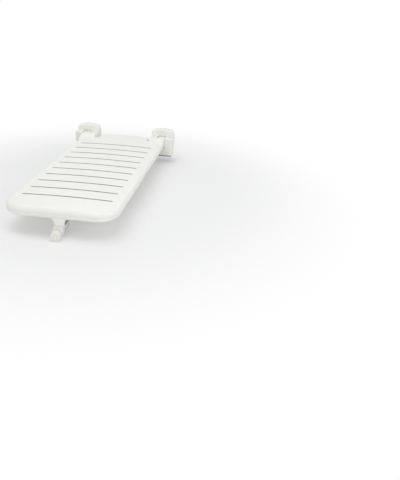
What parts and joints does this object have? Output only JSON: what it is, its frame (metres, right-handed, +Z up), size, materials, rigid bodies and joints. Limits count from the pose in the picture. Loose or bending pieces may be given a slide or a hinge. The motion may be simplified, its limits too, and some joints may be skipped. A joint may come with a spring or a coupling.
{
  "type": "folding bath seat",
  "caption": "Wall-hinged bath seat: a slotted white board that folds up between two covered brackets, with a front post and a hand clamp for the tub rim.",
  "frame": {"origin": "centre of the wall bolt rectangle, on the wall plane", "axes": "+Z up, +Y into the wall, the seat reaches towards -Y, +X to the right of a person who faces the wall"},
  "size_m": [0.438, 0.896, 0.1379],
  "materials": {
    "seat_plastic": "glossy moulded white, faintly warm",
    "tray_plastic": "satin moulded white",
    "cover_plastic": "glossy moulded white",
    "post_plastic": "moulded white",
    "knob_plastic": "moulded white",
    "black_rubber": "matt black rubber",
    "grey_rubber": "matt grey rubber",
    "grey_nylon": "matt grey nylon",
    "aluminium_tube": "mill finish",
    "bracket_steel": "zinc plated steel plate",
    "stainless": "turned stainless",
    "brass_insert": "turned brass"
  },
  "bodies": {
    "wall_side": {"wall_bracket_left": "bracket_steel", "wall_bracket_right": "bracket_steel", "bracket_cover_left": "cover_plastic", "bracket_cover_right": "cover_plastic", "bracket_base_left": "cover_plastic", "bracket_base_right": "cover_plastic", "bracket_seal_left": "black_rubber", "bracket_seal_right": "black_rubber", "hinge_pin_left": "stainless", "hinge_pin_right": "stainless", "pin_clips": "stainless", "hinge_washers": "grey_nylon", "stop_pins": "stainless", "cover_screws": "stainless"},
    "seat": {"seat_board": "seat_plastic", "seat_underside": "tray_plastic", "board_screws": "stainless", "frame_rail_left": "aluminium_tube", "frame_rail_right": "aluminium_tube", "cross_tube_rear": "aluminium_tube", "cross_tube_middle": "aluminium_tube", "cross_tube_front": "aluminium_tube", "rail_plugs": "grey_nylon", "hinge_bushes": "grey_nylon", "front_support": "post_plastic", "rim_pad": "grey_rubber", "support_screws": "stainless", "thread_insert": "brass_insert"},
    "shoe": {"clamp_shoe": "knob_plastic", "shoe_pad": "grey_rubber"},
    "knob": {"clamp_knob": "knob_plastic", "knob_cap": "knob_plastic", "clamp_screw": "stainless"}
  },
  "joints": [
    {"name": "seat_fold", "type": "hinge", "parent": "wall_side", "child": "seat", "pos_m": [0, -0.044, 0.013], "axis": [-1, 0, 0], "range_deg": [0, 90]},
    {"name": "shoe_slide", "type": "slide", "parent": "seat", "child": "shoe", "axis": [0, 1, 0], "range_m": [-0.0045, 0]},
    {"name": "knob_turn", "type": "hinge", "parent": "shoe", "child": "knob", "pos_m": [0, -0.88, -0.0685], "axis": [0, 1, 0], "range_deg": [-540.01, 0]}
  ],
  "couplings": [
    {"joint": "knob_turn", "follows": "shoe_slide", "rad_per_m": 2094.4}
  ]
}
